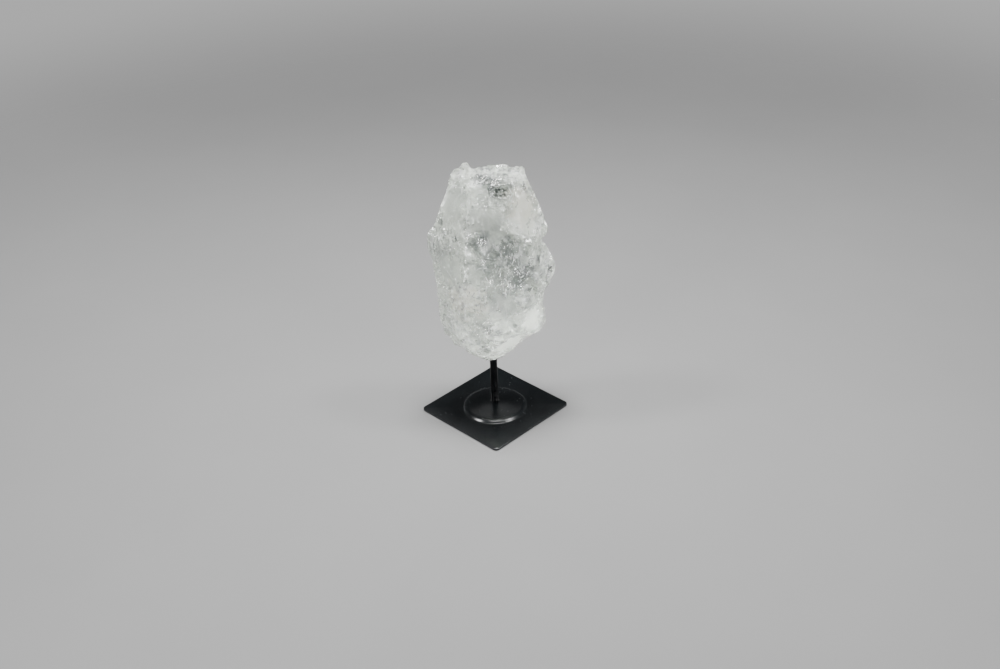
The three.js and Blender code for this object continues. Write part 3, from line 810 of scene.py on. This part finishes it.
def broken(point, rough, drawn):
    """How far the skin is pushed out at a point. Both are in millimetres."""
    moved = wandered(point)
    height = scooped(Vector((moved.x, moved.y, TALL * moved.z)), LARGE_BREAK, 1.0)
    height += scooped(moved + SMALLER_SHIFT, MIDDLE_BREAK, 0.35 + 0.5 * rough)
    height += rough * (scooped(moved, SMALL_BREAK, 0.5) + tilted(moved, FLAKE, 0.5))
    height += drawn * scooped(Vector((moved.x, moved.y, DRAWN_OUT * point.z)), FLAKE, 0.5)
    return height + (0.05 + 0.15 * rough) * noise.noise(point / GRAIN)


def ridged(point):
    """1 on the sharp ridges between the hollows and 0 inside them."""
    moved = wandered(point)
    wide = noise.voronoi((moved + SMALLER_SHIFT) / MIDDLE_BREAK)[0]
    small = noise.voronoi(moved / SMALL_BREAK)[0]
    faint = 0.5 + 0.8 * noise.noise(point / 4)
    return max(eased(wide[1] - wide[0], 0.22, 0.03), faint * eased(small[1] - small[0], 0.4, 0.05))


def soften(mesh, vertices, passes):
    for _ in range(passes):
        bmesh.ops.smooth_vert(
            mesh, verts=vertices, factor=0.5, use_axis_x=True, use_axis_y=True, use_axis_z=True
        )


def make_quartz(material):
    """The chunk's solid with a finer skin: its edges worn, hollows and ridges broken in, and its marks set.

    Returns the skin as a tree to cast rays at.
    """
    mesh = bmesh.new()
    mesh.from_mesh(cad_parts["quartz"].data)
    bmesh.ops.remove_doubles(mesh, verts=mesh.verts, dist=WELD)
    bmesh.ops.subdivide_edges(mesh, edges=mesh.edges[:], cuts=SKIN_CUTS, use_grid_fill=True)
    bmesh.ops.triangulate(mesh, faces=mesh.faces)
    marks = {name: mesh.verts.layers.float.new(name) for name in MARKS}
    bore_radius = HOLE_RADIUS + 0.4 * MM
    bore_top = rod_high.z + MM
    skin = [v for v in mesh.verts if v.co.xy.length >= bore_radius or v.co.z >= bore_top]

    soften(mesh, skin, SOFT_PASSES)
    before = [(v, v.co.copy(), near(v.co / MM, WORN_PLACES)) for v in skin]
    soften(mesh, skin, WORN_PASSES)
    for vertex, sharp, amount in before:
        vertex.co = sharp.lerp(vertex.co, amount)
    mesh.normal_update()

    pushes = []
    for vertex in skin:
        point = vertex.co / MM
        rough = near(point, ROUGH_PLACES)
        drawn = near(point, DRAWN_PLACES)
        vertex[marks["rough"]] = rough
        vertex[marks["clear"]] = near(point, CLEAR_PLACES)
        vertex[marks["drawn"]] = drawn
        vertex[marks["warm"]] = near(point, WARM_PLACES)
        # tone: a painted glow in the milky places, less painted shade in the shaded ones
        vertex[marks["tone"]] = near(point, MILKY_AND_GLOW_PLACES) - near(point, PAINTED_SHADE_PLACES)
        vertex[marks["worn"]] = near(point, WORN_PLACES)
        # the ridge mark also sets the painted shade in the hollows
        vertex[marks["ridge"]] = ridged(point)
        push = vertex.normal * broken(point, rough, drawn) * (1 - WORN_AWAY * vertex[marks["worn"]])
        for centre, reach, lump in LUMPS:
            push += Vector(lump) * eased((point - Vector(centre)).length, reach, 0.3 * reach)
        pushes.append(push * MM)
    for vertex, push in zip(skin, pushes):
        vertex.co = kept_in(vertex.co + push, quartz_low, quartz_high)
    shell = BVHTree.FromBMesh(mesh)
    piece = finished(mesh, "quartz_chunk", material, smooth_angle=SKIN_SMOOTH_ANGLE)
    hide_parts("quartz")
    return shell


def inside(shell, point, margin):
    """True if the point is inside the shell and at least the margin from it."""
    nearest, normal, _, distance = shell.find_nearest(point)
    return distance > margin and (point - nearest).dot(normal) < 0


def skin_from_outside(shell, around, up):
    """Where a level ray to the middle meets the skin, and the normal there. Both lots go from 0 to 1."""
    height = quartz_low.z + (quartz_high.z - quartz_low.z) * up
    out = Vector((math.cos(2 * math.pi * around), math.sin(2 * math.pi * around), 0))
    hit, normal, _, _ = shell.ray_cast(Vector((0, 0, height)) + OUTSIDE * out, -out)
    return hit, normal


def drawn_lots(seed, count, shift=0.5):
    """That many numbers from 0 to 1 which are the same for the same seed."""
    return [noise.cell(Vector((seed + 0.5, k * 3.7 + shift, 11.3))) for k in range(count)]


def veil(whole, shell, centre, turn, half, lace_from, seed):
    """Adds one ragged, lacy sheet of that half width to the veils, cut off just under the surface."""
    steps = max(4, int(2 * half / VEIL_CELL))
    sheet = bmesh.new()
    bmesh.ops.create_grid(sheet, x_segments=steps, y_segments=steps, size=half)
    outside = []
    place = Matrix.Translation(centre) @ turn
    for vertex in sheet.verts:
        own = Vector((vertex.co.x, 0.35 * vertex.co.y, 0)) / MM + Vector((seed * 5.1, 0, 0))
        reach = vertex.co.length / half
        lace = noise.noise(own / 2) + 0.6 * noise.noise(own / 0.9)
        vertex.co.z = VEIL_WAVE * noise.noise(own / 6)
        vertex.co = place @ vertex.co
        if lace < 0.7 * reach + lace_from or not inside(shell, vertex.co, VEIL_MARGIN):
            outside.append(vertex)
    bmesh.ops.delete(sheet, geom=outside, context="VERTS")
    bmesh.ops.solidify(sheet, geom=sheet.faces[:], thickness=VEIL_SHEET)
    join(whole, sheet)


def make_veils(shell, material):
    """Sheets along old fractures, most of them just under the surface, and the milky places."""
    whole = bmesh.new()
    for i in range(VEIL_COUNT):
        lots = drawn_lots(i, 6, shift=0)
        hit, normal = skin_from_outside(shell, lots[0], 0.06 + 0.9 * lots[1])
        if hit is None or max(near(hit / MM, CLEAR_PLACES), near(hit / MM, PAINTED_SHADE_PLACES)) > 0.2:
            continue
        centre = hit - normal * (1 + 9 * lots[2] ** 2) * MM
        turn = Matrix.Rotation(WHOLE_TURN * lots[4], 4, "Z") @ Matrix.Rotation(0.6 + 1.9 * lots[5], 4, "X")
        veil(whole, shell, centre, turn, (2.5 + 6 * lots[3]) * MM, VEIL_LACE, i)
    for i, (place, reach, _) in enumerate(MILKY_AND_GLOW_PLACES):
        hit, normal, _, _ = shell.find_nearest(Vector(place) * MM)
        lie = normal.to_track_quat("Z", "Y").to_matrix().to_4x4()
        for layer in range(MILKY_LAYERS):
            tip = Matrix.Rotation(0.35 * (layer - 1.5), 4, "X")
            centre = hit - normal * (MILKY_DEPTH + MILKY_STEP * layer) * MM
            veil(whole, shell, centre, lie @ tip, reach * MM, MILKY_LACE, MILKY_SEED + i)
    piece = finished(whole, "fracture_veils", material)


def chip(whole, at, normal, lots):
    """Adds one small flat chip, half sunk in the skin, its top nearly parallel to a face of the crystal."""
    grain = bmesh.new()
    bmesh.ops.create_cone(
        grain, segments=CHIP_CORNERS, cap_ends=True, radius1=1.0, radius2=CHIP_TOP, depth=1.0
    )
    for k, vertex in enumerate(grain.verts):
        vertex.co *= 0.75 + 0.5 * noise.cell(Vector((lots[0] * 91 + 0.5, k + 0.5, 4.5)))
    long = 0.35 + 0.85 * lots[1] ** 2
    wide = 0.15 + 0.25 * lots[2] ** 2
    size = Matrix.Diagonal((long * MM, wide * MM, CHIP_THICKNESS, 1))
    tip = Matrix.Rotation(WHOLE_TURN * lots[3], 4, "Z")
    tip @= Matrix.Rotation(CHIP_TILT * (lots[4] - 0.5), 4, "Y")
    tip @= Matrix.Rotation(CHIP_TILT * (lots[8] - 0.5), 4, "X")
    parallel = max(FACE_DIRECTIONS, key=normal.dot)
    if normal.dot(parallel) > LEAN_LIMIT:
        normal = parallel
    lie = normal.to_track_quat("Z", "Y").to_matrix().to_4x4()
    bmesh.ops.transform(grain, verts=grain.verts, matrix=Matrix.Translation(at) @ lie @ tip @ size)
    join(whole, grain)


def make_chips(shell, material):
    """Chips in clusters round the glint places, and a thin scatter of them where the skin is sugary."""
    whole = bmesh.new()
    seed = CHIP_SEED
    for place, reach, count in GLINT_PLACES:
        for _ in range(count):
            lots = drawn_lots(seed, 9)
            seed += 1
            throw = Vector((lots[5] - 0.5, lots[6] - 0.5, lots[7] - 0.5)) * 2 * reach
            hit, normal, _, _ = shell.find_nearest((Vector(place) + throw) * MM)
            chip(whole, hit, normal, lots)
    for _ in range(SCATTER_COUNT):
        lots = drawn_lots(seed, 9)
        seed += 1
        hit, normal = skin_from_outside(shell, lots[5], lots[6])
        if hit is not None and near(hit / MM, ROUGH_PLACES) > SCATTER_ROUGHNESS:
            chip(whole, hit, normal, lots)
    for vertex in whole.verts:
        vertex.co = kept_in(vertex.co, quartz_low, quartz_high)
    piece = finished(whole, "skin_chips", material, smooth_angle=CHIP_SMOOTH_ANGLE)


make_base(enamel("base_enamel", (0.002, 0.0027, 0.0031, 1), 0.21, 0.27, gloss=0.5))
make_rod(enamel("rod_enamel", (0.0004, 0.0005, 0.0006, 1), 0.2, 0.3, gloss=0.03))
quartz_shell = make_quartz(crystal())
make_veils(quartz_shell, veil_white())
make_chips(quartz_shell, frost_white())


# ---- studio ----

MIDDLE = (0, 0, 0.08)
CREST = (0.003, 0.003, 0.172)
FOOT = (0.009, -0.012, 0.056)
ALL_ROUND = 180

# Each light has a name, a place, what it points at, its size, its power in watts and its spread in degrees.
LIGHTS = (
    ("left_softbox", (-0.72, -0.07, 1.05), MIDDLE, (0.18, 0.18), 8, ALL_ROUND),
    ("right_softbox", (0.56, -0.07, 1.14), MIDDLE, (0.16, 0.16), 6.8, ALL_ROUND),
    ("front_left_softbox", (-0.8, -1.0, 0.42), MIDDLE, (0.45, 0.45), 9.5, ALL_ROUND),
    ("front_right_softbox", (0.9, -0.9, 0.42), MIDDLE, (0.45, 0.45), 7.5, ALL_ROUND),
    ("back_left_softbox", (-0.8, 0.6, 0.11), MIDDLE, (0.4, 0.12), 0.4, 40),
    ("back_right_softbox", (0.85, 0.52, 0.11), MIDDLE, (0.4, 0.12), 0.4, 40),
    ("top_softbox", (0.0, 0.03, 0.75), MIDDLE, (0.2, 0.2), 12, ALL_ROUND),
    ("low_left_softbox", (-0.45, -0.55, 0.06), MIDDLE, (0.3, 0.06), 0.3, 40),
    ("low_right_softbox", (0.48, -0.3, 0.05), MIDDLE, (0.3, 0.06), 0.34, 40),
    ("crest_softbox", (0.1, 0.75, 0.5), CREST, (0.12, 0.08), 0.012, 10),
    ("foot_softbox", (0.3, -0.42, 0.02), FOOT, (0.05, 0.03), 0.04, 14),
    ("faint_back_panel", (0.0, 0.6, 0.8), (0, 0, 0), (0.8, 0.3), 0.5, ALL_ROUND),
)

CAMERA_PLACE = Vector((4.92, -691.49, 487.9)) * MM
CAMERA_RIGHT = Vector((0.9994, -0.0184, -0.0296))
CAMERA_FORWARD = Vector((0, 0.8492, -0.528))

FLOOR_HALF = 4
PAPER_WHOLE_TO = 0.45  # from the middle outwards
PAPER_GONE_FROM = 1.1


def make_floor():
    """Pale paper that fades into the background further out."""
    n = Nodes("pale_paper")
    grey = n.mixed(n.cloud(n.place(), 12, detail=3), (0.18, 0.18, 0.18, 1), (0.195, 0.195, 0.194, 1))
    paper = n.add("ShaderNodeBsdfPrincipled", {"Base Color": grey, "Roughness": 0.85}).outputs[0]
    clear = n.add("ShaderNodeBsdfTransparent").outputs[0]
    away = n.add("ShaderNodeVectorMath", {0: n.place()}, operation="LENGTH").outputs["Value"]
    fade = n.ranged(away, PAPER_WHOLE_TO, PAPER_GONE_FROM, smooth=True)
    shader = n.add("ShaderNodeMixShader", {0: fade, 1: paper, 2: clear})
    mesh = bmesh.new()
    bmesh.ops.create_grid(mesh, x_segments=1, y_segments=1, size=FLOOR_HALF)
    data = bpy.data.meshes.new("floor")
    mesh.to_mesh(data)
    mesh.free()
    data.materials.append(n.finish(shader.outputs[0]))
    floor = bpy.data.objects.new("floor", data)
    bpy.context.scene.collection.objects.link(floor)


def soft_light(name, place, target, size, power, spread):
    """A rectangular light that the camera doesn't see."""
    data = bpy.data.lights.new(name, "AREA")
    data.shape = "RECTANGLE"
    data.size, data.size_y = size
    data.energy = power
    data.spread = math.radians(spread)
    lamp = bpy.data.objects.new(name, data)
    bpy.context.scene.collection.objects.link(lamp)
    lamp.location = place
    lamp.visible_camera = False
    lamp.rotation_euler = (Vector(target) - Vector(place)).to_track_quat("-Z", "Y").to_euler()


def make_camera():
    data = bpy.data.cameras.new("camera")
    data.lens = 45
    data.sensor_width = 36
    data.clip_end = 20
    camera = bpy.data.objects.new("camera", data)
    bpy.context.scene.collection.objects.link(camera)
    up = CAMERA_RIGHT.cross(CAMERA_FORWARD)
    turn = Matrix((CAMERA_RIGHT, up, -CAMERA_FORWARD)).transposed()
    camera.matrix_world = Matrix.Translation(CAMERA_PLACE) @ turn.to_4x4()
    bpy.context.scene.camera = camera


def make_world():
    """Dim all round, to keep the black enamel dark, and pale where the camera looks past the floor."""
    world = bpy.data.worlds.new("studio")
    bpy.context.scene.world = world
    world.use_nodes = True
    nodes, links = world.node_tree.nodes, world.node_tree.links
    around = nodes["Background"]
    around.inputs["Color"].default_value = (0.9, 0.95, 1.0, 1)
    around.inputs["Strength"].default_value = 0.08
    behind = nodes.new("ShaderNodeBackground")
    behind.inputs["Color"].default_value = (0.50, 0.50, 0.50, 1)
    path = nodes.new("ShaderNodeLightPath")
    choice = nodes.new("ShaderNodeMixShader")
    links.new(path.outputs["Is Camera Ray"], choice.inputs[0])
    links.new(around.outputs[0], choice.inputs[1])
    links.new(behind.outputs[0], choice.inputs[2])
    links.new(choice.outputs[0], nodes["World Output"].inputs["Surface"])


make_floor()
make_world()
for light in LIGHTS:
    soft_light(*light)
make_camera()
